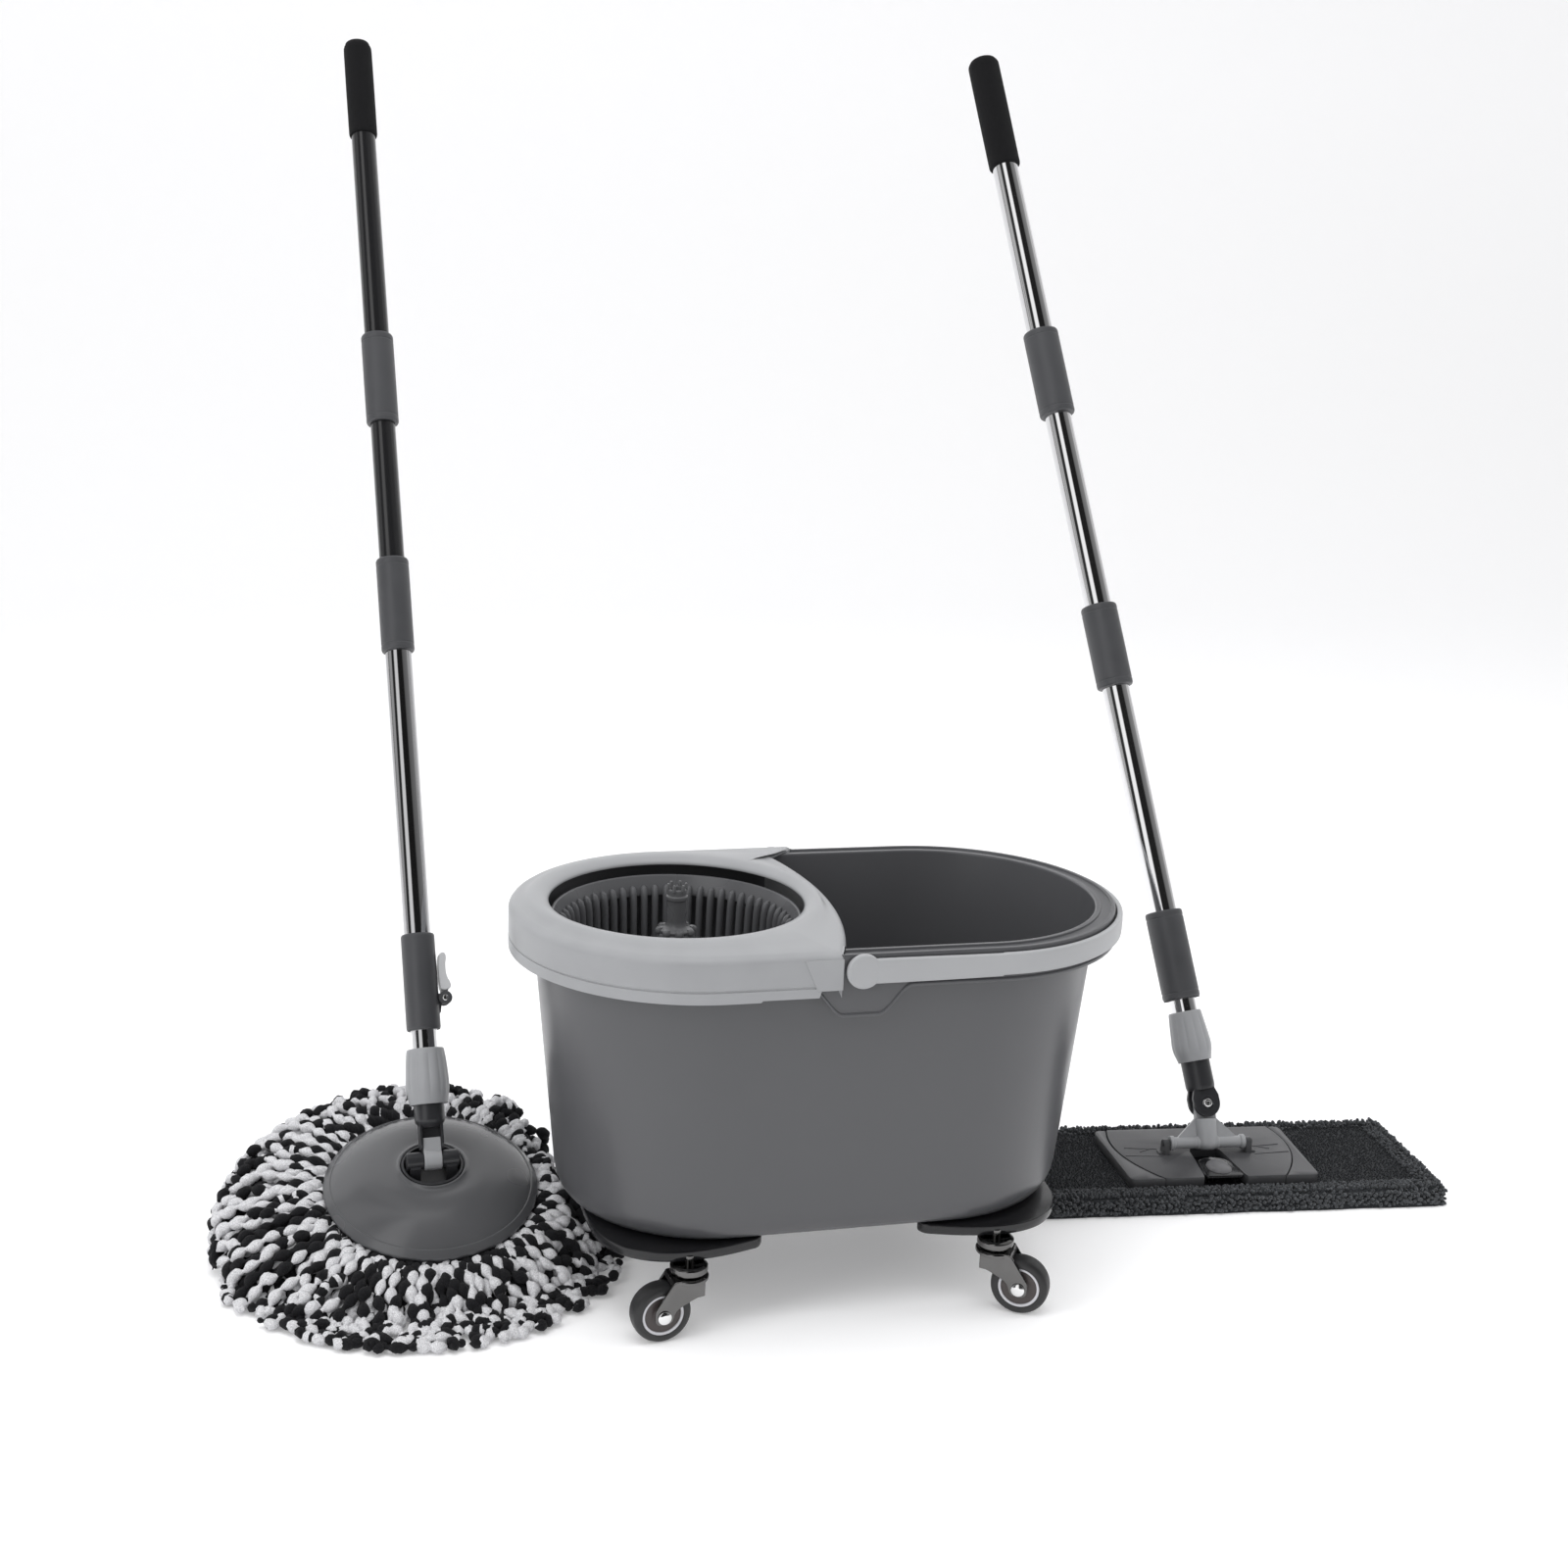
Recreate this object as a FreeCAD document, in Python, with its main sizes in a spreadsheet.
"""Wheeled spin-mop set: a bucket with a spinning wringer basket, a spin mop and a flat mop.

X runs along the bucket's long side with the wringer end at -X, Y runs away from the front,
Z is up, and the casters and both mop heads stand on Z = 0. Lengths are millimetres.
"""
import FreeCAD, Part
import math
import os
import Sketcher
from FreeCAD import Placement, Rotation, Vector

X_AXIS, Y_AXIS, Z_AXIS = Vector(1, 0, 0), Vector(0, 1, 0), Vector(0, 0, 1)

doc = FreeCAD.newDocument("SpinMopSet")
sheet = doc.addObject("Spreadsheet::Sheet", "Sizes")

# Driving dimensions: name, value, meaning. Angles are degrees, everything else is millimetres.
SIZES = [
    ("bucket_x", -71.9, "bucket centre from the frame's origin, along X"),
    ("bucket_y", -214.5, "bucket centre from the frame's origin, along Y"),
    # bucket
    ("rim_length", 484, "rim, end to end"),
    ("rim_width", 275, "rim, front to back"),
    ("rim_height", 305, "top of the rim above the floor"),
    ("rim_thick", 3, "flange thickness"),
    ("rim_overhang", 14, "flange beyond the wall, at the ends"),
    ("base_length", 411, "base, end to end"),
    ("base_width", 234, "base, front to back"),
    ("base_height", 70, "underside of the base above the floor"),
    ("base_round", 22, "rounding where the wall meets the base"),
    ("shell_wall", 3, "bucket wall thickness"),
    ("skirt_drop", 26, "rim skirt, below the rim top"),
    ("skirt_wall", 2.5, "rim skirt thickness"),
    ("lobe_radius", 36, "round lobe of the skirt that carries a bail pivot"),
    ("pivot_x", -4, "bail pivot from the bucket centre"),
    ("pivot_drop", 12, "bail pivot below the rim top"),
    ("pin_radius", 5, "bail pivot pin"),
    ("running_gap", 0.06, "radial clearance of every pin and shaft that turns"),
    ("bail_gap", 1.2, "bail to rim skirt"),
    ("bail_thick", 4.5, "bail band thickness"),
    ("bail_lift", 1, "underside of the bail band above its pivot"),
    ("bail_depth", 13, "bail band height"),
    ("bail_disc", 13, "radius of the bail's pivot disc"),
    ("bail_neck", 70, "length over which the bail rises from its disc"),
    ("rest_width", 24, "ledge that the bail lies on"),
    ("rest_thick", 4, "ledge thickness"),
    # splash cover
    ("cover_wall", 2.6, "splash cover thickness"),
    ("cover_gap", 0.4, "splash cover to rim"),
    ("cover_drop", 32, "cover skirt, below the rim top"),
    ("divider_x", 7, "crown of the curved divider from the bucket centre"),
    ("divider_radius", 376, "plan radius of the divider"),
    ("divider_depth", 34, "divider wall, below the rim top"),
    ("divider_side_gap", 4, "divider wall to bucket wall, at its ends"),
    ("ring_x", -115, "wringer axis from the bucket centre"),
    ("ring_radius", 99.3, "wringer opening"),
    ("ring_width", 25.7, "raised ring around the opening"),
    ("ring_rise", 5, "crest of the ring above the cover"),
    ("ring_lip", 8, "depth of the ring's inner lip"),
    # wringer basket
    ("basket_top", 6, "basket collar below the rim top"),
    ("basket_depth", 95, "basket collar to basket floor"),
    ("basket_gap", 1.8, "collar to wringer opening"),
    ("basket_wall", 4, "basket rib depth"),
    ("basket_floor", 2.5, "basket floor thickness"),
    ("basket_taper", 6, "basket wall narrows by this much at its floor"),
    ("collar_depth", 12, "conical collar height"),
    ("collar_slope", 5, "conical collar narrows by this much"),
    ("slot_count", 60, "slots round the basket"),
    ("slot_width", 4.6, "slot width"),
    ("hub_radius", 11, "outside of the basket hub"),
    ("hub_cone", 34, "radius where the hub cone meets the floor"),
    ("hub_drop", 32, "hub top below the rim top"),
    ("hub_tail", 14, "hub below the basket floor"),
    ("bush_radius", 7, "outside of the basket bush"),
    ("hub_roof", 9, "solid top of the hub"),
    ("post_radius", 7, "centre post"),
    ("post_height", 44, "centre post"),
    ("post_flange", 15, "radius of the post's scalloped base"),
    ("flange_thick", 4, "thickness of that base"),
    ("crown_radius", 8.5, "head of the post"),
    ("crown_height", 9, "height of that head"),
    ("scallop_radius", 3, "scallop in the base and notch in the head"),
    ("spindle_radius", 4, "steel spindle"),
    ("spindle_flange", 9, "thrust flange on the spindle"),
    ("thrust_gap", 0.3, "axial clearance over the thrust flange"),
    ("spindle_seat", 28, "depth of the spindle in its pedestal"),
    ("pedestal_foot", 44, "radius of the pedestal foot"),
    ("pedestal_low", 27, "pedestal radius above its foot"),
    ("pedestal_high", 14, "pedestal radius at its top"),
    ("pedestal_wall", 3.5, "pedestal wall and foot thickness"),
    # caster plates
    ("plate_thick", 10, "caster plate thickness"),
    ("plate_inner", 90, "inner edge of a caster plate from the bucket centre"),
    ("plate_outer", 190, "outer edge of a caster plate from the bucket centre"),
    ("plate_width", 160, "straight middle of a caster plate"),
    ("plate_lobe", 54, "radius of a plate's lobes"),
    ("plate_lobe_x", 128, "lobe centre along X"),
    ("plate_lobe_y", 76, "lobe centre along Y"),
    ("screw_radius", 1.8, "plate screw shank"),
    ("screw_head", 4, "plate screw head radius"),
    ("screw_head_thick", 2.4, "plate screw head thickness"),
    ("screw_sink", 3, "depth of the screw's counterbore"),
    ("boss_radius", 6, "screw boss on the bucket floor"),
    ("boss_height", 11, "screw boss height"),
    ("screw_bite", 10, "screw length above the base's underside"),
    ("screw_near_x", 100, "inner screw of a plate, along X"),
    ("screw_near_y", 62, "inner screw of a plate, along Y"),
    ("screw_far_x", 165, "outer screw of a plate, along X"),
    ("screw_far_y", 45, "outer screw of a plate, along Y"),
    # casters
    ("caster_x", 122.6, "kingpin from the bucket centre, along X"),
    ("caster_y", 118, "kingpin from the bucket centre, along Y"),
    ("kingpin_radius", 4, "kingpin"),
    ("kingpin_seat", 7, "kingpin length in the plate"),
    ("raceway_radius", 14.5, "swivel raceway"),
    ("raceway_thick", 8.5, "swivel raceway"),
    ("bridge_radius", 15, "round top of a fork"),
    ("bridge_thick", 4, "top of a fork"),
    ("kingpin_head", 7, "radius of the kingpin's head"),
    ("kingpin_head_thick", 2.2, "thickness of that head"),
    ("swivel_gap", 0.3, "axial clearance over and under the fork top"),
    ("trail", 22, "axle behind the kingpin"),
    ("wheel_radius", 23, "caster wheel"),
    ("wheel_width", 17, "caster wheel"),
    ("tyre_round", 5, "rounding of the tread"),
    ("hub_recess", 2, "wheel face dished by this much"),
    ("hub_face", 15, "radius of the dished face"),
    ("axle_radius", 3, "wheel axle"),
    ("axle_cap", 5.5, "axle cap radius"),
    ("axle_cap_thick", 2.5, "axle cap thickness"),
    ("fork_gap", 1.2, "wheel to fork side"),
    ("fork_side", 2, "fork side thickness"),
    ("fork_foot", 7, "half width of a fork side at the axle"),
    ("fork_back", 9, "fork side behind the kingpin"),
    ("swivel_front_left", 187, "trail direction of the front left caster"),
    ("swivel_front_right", -31, "trail direction of the front right caster"),
    ("swivel_rear_left", 20, "trail direction of the rear left caster"),
    ("swivel_rear_right", 160, "trail direction of the rear right caster"),
    # spin mop head
    ("spin_x", -300.5, "spin mop head from the bucket centre, along X"),
    ("spin_y", 53, "spin mop head from the bucket centre, along Y"),
    ("spin_turn", 3.6, "spin mop turned about the vertical"),
    ("head_height", 54, "rim of the head disc above the floor, at its centre"),
    ("head_tilt", 15.8, "head disc tipped towards the front"),
    ("head_radius", 86, "head disc"),
    ("head_rim", 3, "edge of the head disc"),
    ("head_wall", 3, "head disc thickness"),
    ("dome_rise", 22, "dome above the rim plane, at the socket ring"),
    ("dome_sag", 5, "how far the dome's section bows out"),
    ("socket_radius", 25, "round socket for the turntable"),
    ("socket_wall", 3, "wall of that socket"),
    ("socket_low", 11, "bottom of the socket wall above the rim plane"),
    ("socket_high", 25, "top of the socket wall above the rim plane"),
    ("turntable_floor", 4, "floor of the turntable"),
    ("turntable_flange", 29, "flange that keeps the turntable in its socket"),
    ("turntable_flange_thick", 3, "thickness of that flange"),
    ("turntable_wall", 2.5, "wall of the turntable"),
    ("knuckle_height", 28.5, "knuckle axis above the rim plane"),
    ("saddle_depth", 18, "saddle blocks, front to back"),
    ("saddle_width", 9, "each saddle block, along the knuckle"),
    ("saddle_inner", 10, "saddle block from the middle"),
    ("barrel_radius", 7, "knuckle barrel"),
    ("barrel_length", 42, "knuckle barrel"),
    ("barrel_pin", 4, "pin that joins the two halves of the barrel"),
    ("tongue_width", 14.6, "knuckle tongue"),
    ("tongue_depth", 10, "knuckle tongue, front to back"),
    ("tongue_height", 25, "knuckle tongue above the axis"),
    ("tongue_eye", 8, "radius of the tongue's eye"),
    # yarn
    ("yarn_radius", 162, "yarn skirt"),
    ("yarn_inner", 48, "hole in the middle of the yarn"),
    ("yarn_ring_low", 5.5, "yarn ring below the rim plane"),
    ("yarn_ring_inner", 46, "yarn ring"),
    ("yarn_ring_outer", 84.6, "yarn ring"),
    ("yarn_swell", 4, "yarn above the rim plane just outside the disc"),
    ("yarn_droop", 20, "yarn below the rim plane at its edge"),
    ("yarn_depth", 110, "yarn thickness before the floor flattens it"),
    ("yarn_caster_gap", 3, "yarn to the rear left caster's sweep and to the plate over it"),
    # spin mop handle, measured along it from the knuckle
    ("spin_lean", 27, "handle leaning back from the vertical"),
    ("fork_low", 5, "bottom of the fork ears"),
    ("fork_high", 25, "top of the fork's window"),
    ("ear_thick", 2.2, "fork ear thickness"),
    ("ear_depth", 13, "fork ears, front to back"),
    ("socket_tube_radius", 12.2, "dark socket"),
    ("collar_low", 44, "bottom of the screw collar"),
    ("collar_wide", 57, "widest place of the screw collar"),
    ("collar_high", 89, "top of the screw collar"),
    ("collar_low_radius", 15.4, "screw collar at its bottom"),
    ("collar_wide_radius", 17.8, "screw collar where it is widest"),
    ("collar_high_radius", 15, "screw collar at its top"),
    ("spigot_high", 62, "top of the spigot inside the collar"),
    ("inner_tube_wall", 1, "inner tube wall"),
    ("inner_tube_high", 300, "top of the inner tube"),
    ("nut_thick", 12, "drive nut"),
    ("nut_gap", 0.3, "drive nut to its stops"),
    ("nut_stop", 2, "thickness of each stop inside the inner tube"),
    ("rod_radius", 3, "drive rod"),
    ("rod_low", 152, "bottom of the drive rod"),
    ("rod_plug", 16, "plug that holds the top of the drive rod"),
    ("lock_low", 104, "bottom of the lock sleeve"),
    ("lock_high", 183, "top of the lock sleeve"),
    ("lock_radius", 13.8, "lock sleeve"),
    ("lower_tube_radius", 10.9, "bright lower tube"),
    ("upper_tube_radius", 10.6, "black upper tubes"),
    ("tube_wall", 0.9, "tube wall"),
    ("sleeve_radius", 13.8, "soft sleeves over the tube joints"),
    ("sleeve_a_low", 425, "lower sleeve"),
    ("sleeve_a_high", 507, "lower sleeve"),
    ("sleeve_b_low", 631, "upper sleeve"),
    ("sleeve_b_high", 713, "upper sleeve"),
    ("grip_low", 906, "bottom of the grip"),
    ("grip_high", 1001, "top of the grip"),
    ("grip_radius", 12.4, "foam grip"),
    ("grip_wall", 8, "tube end to grip end"),
    ("lever_pivot_out", 18.5, "lock lever pivot from the handle's axis"),
    ("lever_pivot_up", 129, "lock lever pivot along the handle"),
    ("lever_eye", 4.6, "radius of the lever's eyes"),
    ("lever_pin", 2, "lever pin"),
    ("lever_width", 12, "lock lever, front to back"),
    ("lever_boss", 7, "boss between the lever's eyes"),
    ("lever_length", 37, "lock lever above its pivot"),
    ("lever_thick", 4, "lock lever thickness"),
    ("lever_gap", 0.4, "lock lever to sleeve and boss"),
    # flat mop head
    ("flat_x", 400.5, "flat mop head from the bucket centre, along X"),
    ("flat_y", 73.1, "flat mop head from the bucket centre, along Y"),
    ("flat_turn", -5.8, "flat mop turned about the vertical"),
    ("pad_length", 402, "microfibre pad"),
    ("pad_width", 156, "microfibre pad"),
    ("pad_thick", 13, "microfibre pad"),
    ("pad_round", 14, "pad corners"),
    ("frame_length", 176, "frame plate"),
    ("frame_width", 103, "frame plate"),
    ("frame_thick", 10, "frame plate"),
    ("frame_round", 14, "frame plate corners"),
    ("treadle_slot_width", 32, "slot for the foot button"),
    ("treadle_slot_reach", 60, "slot length from the front edge"),
    ("treadle_slot_floor", 6, "plate left under the slot"),
    ("button_length", 26, "foot button, along the plate"),
    ("button_width", 22, "foot button, front to back"),
    ("button_y", -28, "foot button from the plate centre"),
    ("button_travel", 2, "foot button travel"),
    ("button_proud", 1, "foot button above the plate"),
    ("button_rise", 0.3, "foot button above its lowest seat"),
    ("button_guide", 2.5, "radius of the button's guide post"),
    ("yoke_height", 32, "yoke barrel above the floor"),
    ("yoke_radius", 6.8, "yoke barrel"),
    ("yoke_length", 71, "yoke barrel"),
    ("yoke_pin", 3, "yoke axle"),
    ("lug_gap", 0.5, "yoke barrel to lug"),
    ("lug_thick", 6, "plate lugs"),
    ("lug_radius", 6.5, "plate lugs"),
    ("stem_radius", 9.3, "yoke stem"),
    ("stem_high", 21, "top of the yoke stem's round part"),
    ("gusset_out", 27, "gusset along the barrel"),
    ("gusset_thick", 4, "gusset thickness"),
    ("tilt_height", 35, "side tilt axis above the yoke barrel"),
    ("tilt_tongue", 8, "yoke tongue between the clevis cheeks"),
    ("tilt_gap", 0.3, "clevis cheek to tongue"),
    ("cheek_thick", 5, "clevis cheek"),
    ("cheek_radius", 12.4, "clevis cheek"),
    ("tilt_pin", 3, "side tilt screw shank"),
    ("tilt_pin_head", 5, "side tilt screw head"),
    ("tilt_pin_head_thick", 2.2, "side tilt screw head"),
    # flat mop handle, measured along it from the side tilt axis
    ("flat_lean", 26.2, "handle leaning back from the vertical"),
    ("flat_side", -8.4, "handle leaning to the left"),
    ("flat_socket_radius", 13.2, "dark socket"),
    ("flat_socket_low", 13, "bottom of the round part of the socket"),
    ("flat_spigot_high", 57, "top of the spigot inside the collar"),
    ("flat_collar_low", 39, "bottom of the screw collar"),
    ("flat_collar_wide", 50, "widest place of the screw collar"),
    ("flat_collar_high", 85, "top of the screw collar"),
    ("flat_collar_low_radius", 15.4, "screw collar at its bottom"),
    ("flat_collar_wide_radius", 18.4, "screw collar where it is widest"),
    ("flat_collar_high_radius", 14.8, "screw collar at its top"),
    ("flat_stub_radius", 12.2, "short bright tube"),
    ("flat_tube_radius", 12.8, "bright tubes"),
    ("flat_sleeve_radius", 17.2, "soft sleeves over the tube joints"),
    ("flat_sleeve_a_low", 97, "lowest sleeve"),
    ("flat_sleeve_a_high", 179.5, "lowest sleeve"),
    ("flat_sleeve_b_low", 398, "middle sleeve"),
    ("flat_sleeve_b_high", 478.5, "middle sleeve"),
    ("flat_sleeve_c_low", 675, "top sleeve"),
    ("flat_sleeve_c_high", 762, "top sleeve"),
    ("flat_grip_low", 941, "bottom of the grip"),
    ("flat_grip_high", 1062, "top of the grip"),
    ("flat_grip_radius", 15.6, "foam grip"),
]
for row, (alias, number, meaning) in enumerate(SIZES, start=1):
    sheet.set(f"A{row}", alias)
    sheet.set(f"B{row}", str(number))
    sheet.set(f"C{row}", meaning)
    sheet.setAlias(f"B{row}", alias)
doc.recompute()


class Size:
    """A length that carries its value and the sheet formula that gives it."""

    def __init__(self, number, formula):
        self.number = number
        self.formula = formula

    def combine(self, other, sign, number):
        return Size(number, f"({self.formula} {sign} {as_size(other).formula})")

    def __add__(self, other):
        return self.combine(other, "+", self.number + float(other))

    def __sub__(self, other):
        return self.combine(other, "-", self.number - float(other))

    def __mul__(self, other):
        return self.combine(other, "*", self.number * float(other))

    def __truediv__(self, other):
        return self.combine(other, "/", self.number / float(other))

    def __neg__(self):
        return Size(-self.number, f"(0 mm - {self.formula})")

    def __float__(self):
        return self.number


def as_size(quantity):
    """A Size as it is, and a plain factor as a Size without a unit."""
    return quantity if isinstance(quantity, Size) else Size(float(quantity), str(quantity))


class Sheet:
    """Reads a driving dimension of the sheet by its name."""

    def __getattr__(self, alias):
        return Size(float(sheet.get(alias)), f"(Sizes.{alias} * 1 mm)")


S = Sheet()
ZERO = Size(0.0, "0 mm")


# ---------------------------------------------------------------- making shapes
def bind(thing, **sizes):
    """Ties properties of a document object to the sheet."""
    for name, quantity in sizes.items():
        if isinstance(quantity, Size):
            setattr(thing, name, quantity.number)
            thing.setExpression(name, quantity.formula)
        else:
            setattr(thing, name, quantity)
    return thing


def at(x=0, y=0, z=0, turn=None):
    return Placement(Vector(float(x), float(y), float(z)), turn or Rotation())


def origin_plane(body, role):
    return next(item for item in body.Origin.OriginFeatures if item.Role == role)


def pin_down(sketch, corner, x, y):
    """Holds a sketch point (geometry, end) at two sheet distances from the origin."""
    geometry, end = corner
    for kind, axis, quantity in (("DistanceX", -2, x), ("DistanceY", -1, y)):
        if quantity.number == 0:
            sketch.addConstraint(Sketcher.Constraint("PointOnObject", geometry, end, axis))
            continue
        rule = Sketcher.Constraint(kind, -1, 1, geometry, end, quantity.number)
        index = sketch.addConstraint(rule)
        sketch.setExpression(f"Constraints[{index}]", quantity.formula)


def new_sketch(body, role, lift=ZERO):
    sketch = body.newObject("Sketcher::SketchObject", body.Name + "Sketch")
    sketch.AttachmentSupport = [(origin_plane(body, role), "")]
    sketch.MapMode = "FlatFace"
    sketch.AttachmentOffset = at(z=lift)
    sketch.setExpression("AttachmentOffset.Base.z", lift.formula)
    return sketch


def outline(body, role, corners, bows=None, lift=ZERO):
    """A closed outline; bows gives, by side, how far that side bows to its left."""
    bows = bows or {}
    sketch = new_sketch(body, role, lift)
    points = [Vector(float(x), float(y), 0) for x, y in corners]
    count = len(points)
    starts, ends = [], []
    for side in range(count):
        first, last = points[side], points[(side + 1) % count]
        if side not in bows:
            sketch.addGeometry(Part.LineSegment(first, last), False)
            starts.append((side, 1))
            ends.append((side, 2))
            continue
        bow = float(bows[side])
        run = last - first
        left = Vector(-run.y, run.x, 0).normalize()
        crown = (first + last) * 0.5 + left * bow
        arc = Part.Arc(first, crown, last)
        sketch.addGeometry(arc, False)
        forward = (sketch.getPoint(side, 1) - first).Length < 1e-6
        starts.append((side, 1 if forward else 2))
        ends.append((side, 2 if forward else 1))
    for side in range(count):
        join = (*ends[side], *starts[(side + 1) % count])
        sketch.addConstraint(Sketcher.Constraint("Coincident", *join))
    for side, (x, y) in enumerate(corners):
        pin_down(sketch, starts[side], as_size(x), as_size(y))
    for side, bow in bows.items():
        (x1, y1), (x2, y2) = corners[side], corners[(side + 1) % count]
        chord = (x2 - x1) * (x2 - x1) + (y2 - y1) * (y2 - y1)
        radius = (chord / 4 + bow * bow) / (bow * 2)
        if radius.number < 0:
            radius = -radius
        index = sketch.addConstraint(Sketcher.Constraint("Radius", side, radius.number))
        sketch.setExpression(f"Constraints[{index}]", radius.formula)
    return sketch


def stadium_sketch(body, length, width, lift=ZERO):
    """Two half circles joined by two straight sides, centred on the origin."""
    sketch = new_sketch(body, "XY_Plane", lift)
    radius = width / 2
    straight = (length - width) / 2
    a, r = straight.number, radius.number
    quarter = math.pi / 2
    right = Part.ArcOfCircle(Part.Circle(Vector(a, 0, 0), Z_AXIS, r), -quarter, quarter)
    left = Part.ArcOfCircle(Part.Circle(Vector(-a, 0, 0), Z_AXIS, r), quarter, 3 * quarter)
    sketch.addGeometry(right, False)
    sketch.addGeometry(Part.LineSegment(Vector(a, r, 0), Vector(-a, r, 0)), False)
    sketch.addGeometry(left, False)
    sketch.addGeometry(Part.LineSegment(Vector(-a, -r, 0), Vector(a, -r, 0)), False)
    for first, second in ((0, 1), (1, 2), (2, 3), (3, 0)):
        sketch.addConstraint(Sketcher.Constraint("Tangent", first, 2, second, 1))
    pin_down(sketch, (0, 3), straight, ZERO)
    pin_down(sketch, (2, 3), -straight, ZERO)
    index = sketch.addConstraint(Sketcher.Constraint("Radius", 0, r))
    sketch.setExpression(f"Constraints[{index}]", radius.formula)
    return sketch


def new_body(name):
    return doc.addObject("PartDesign::Body", name)


def padded(body, sketch, length, midplane=False, backwards=False):
    pad = body.newObject("PartDesign::Pad", body.Name + "Pad")
    pad.Profile = sketch
    pad.Midplane = midplane
    pad.Reversed = backwards
    bind(pad, Length=length)
    return body


def turned(name, corners, bows=None):
    """A body turned about Z from an outline of (radius, height) corners."""
    body = new_body(name)
    sketch = outline(body, "XZ_Plane", corners, bows)
    spin = body.newObject("PartDesign::Revolution", name + "Turn")
    spin.Profile = sketch
    spin.ReferenceAxis = (sketch, ["V_Axis"])
    spin.Angle = 360
    return body


def pad_outline(name, role, corners, thick, bows=None):
    """An outline padded equally to both sides of its plane."""
    body = new_body(name)
    return padded(body, outline(body, role, corners, bows), thick, midplane=True)


def stadium(name, length, width, low, height):
    body = new_body(name)
    return padded(body, stadium_sketch(body, length, width, low), height)


def tub(name, base, mouth, rounding):
    """A tapered tub with a rounded base; base and mouth are (length, width, height)."""
    body = new_body(name)
    length, width, low = base
    sections = []
    for angle in (0, 22.5, 45, 67.5, 90):
        inset = rounding * (2 - 2 * math.sin(math.radians(angle)))
        lift = low + rounding * (1 - math.cos(math.radians(angle)))
        sections.append(stadium_sketch(body, length - inset, width - inset, lift))
    sections.append(stadium_sketch(body, *mouth))
    loft = body.newObject("PartDesign::AdditiveLoft", name + "Loft")
    loft.Profile = sections[0]
    loft.Sections = sections[1:]
    loft.Ruled = True
    return body


def round_edges(body, radius, chosen):
    """Fillets the edges of the body so far that the test picks out."""
    doc.recompute()
    base = body.Tip
    names = [f"Edge{i}" for i, edge in enumerate(base.Shape.Edges, start=1) if chosen(edge)]
    if not names:
        raise RuntimeError(f"no edge to round on {body.Name}")
    fillet = body.newObject("PartDesign::Fillet", body.Name + "Round")
    fillet.Base = (base, names)
    bind(fillet, Radius=radius)
    return body


def upright(edge):
    """Picks straight edges that stand upright."""
    box = edge.BoundBox
    return box.ZLength > 0.5 and box.XLength < 1e-4 and box.YLength < 1e-4


def cylinder(name, radius, height, place=None, axis=Z_AXIS):
    thing = bind(doc.addObject("Part::Cylinder", name), Radius=radius, Height=height)
    thing.Placement = (place or Placement()).multiply(at(turn=Rotation(Z_AXIS, axis)))
    return thing


def cross_pin(name, radius, length, x=0, y=0, z=0, axis=Y_AXIS):
    """A cylinder centred on a point and lying along X or Y."""
    centre = Vector(float(x), float(y), float(z)) - axis * (float(length) / 2)
    return cylinder(name, radius, length, Placement(centre, Rotation()), axis)


def block(name, length, width, height, x=0, y=0, z=0):
    """A box centred on (x, y) that stands on z."""
    thing = bind(doc.addObject("Part::Box", name), Length=length, Width=width, Height=height)
    thing.Placement = at(float(x) - float(length) / 2, float(y) - float(width) / 2, z)
    return thing


def fuse(name, *pieces):
    thing = doc.addObject("Part::MultiFuse", name)
    thing.Shapes = list(pieces)
    return thing


def cut(name, base, *tools):
    thing = doc.addObject("Part::Cut", name)
    thing.Base = base
    thing.Tool = tools[0] if len(tools) == 1 else fuse(name + "Tools", *tools)
    return thing


def common(name, base, tool):
    thing = doc.addObject("Part::Common", name)
    thing.Base = base
    thing.Tool = tool
    return thing


pieces = {}


def piece(label, thing, frame=None):
    """Names a finished sub-part and puts it in its group's frame."""
    thing.Label = label
    thing.Placement = (frame or Placement()).multiply(thing.Placement)
    pieces[label] = thing
    return thing


# ---------------------------------------------------------------- group frames
BUCKET = at(S.bucket_x, S.bucket_y)
RING = BUCKET.multiply(at(S.ring_x))
SPIN = BUCKET.multiply(at(S.spin_x, S.spin_y, 0, Rotation(Z_AXIS, float(S.spin_turn))))
HEAD = SPIN.multiply(at(z=S.head_height, turn=Rotation(X_AXIS, float(S.head_tilt))))
KNUCKLE = HEAD.multiply(at(z=S.knuckle_height))
HANDLE = KNUCKLE.multiply(at(turn=Rotation(X_AXIS, -float(S.head_tilt) - float(S.spin_lean))))
FLAT = BUCKET.multiply(at(S.flat_x, S.flat_y, 0, Rotation(Z_AXIS, float(S.flat_turn))))
YOKE = FLAT.multiply(at(z=S.yoke_height, turn=Rotation(X_AXIS, -float(S.flat_lean))))
FLAT_HANDLE = YOKE.multiply(at(z=S.tilt_height, turn=Rotation(Y_AXIS, float(S.flat_side))))
CASTERS = {
    "front_left": (-1, -1, S.swivel_front_left),
    "front_right": (1, -1, S.swivel_front_right),
    "rear_left": (-1, 1, S.swivel_rear_left),
    "rear_right": (1, 1, S.swivel_rear_right),
}


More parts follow.
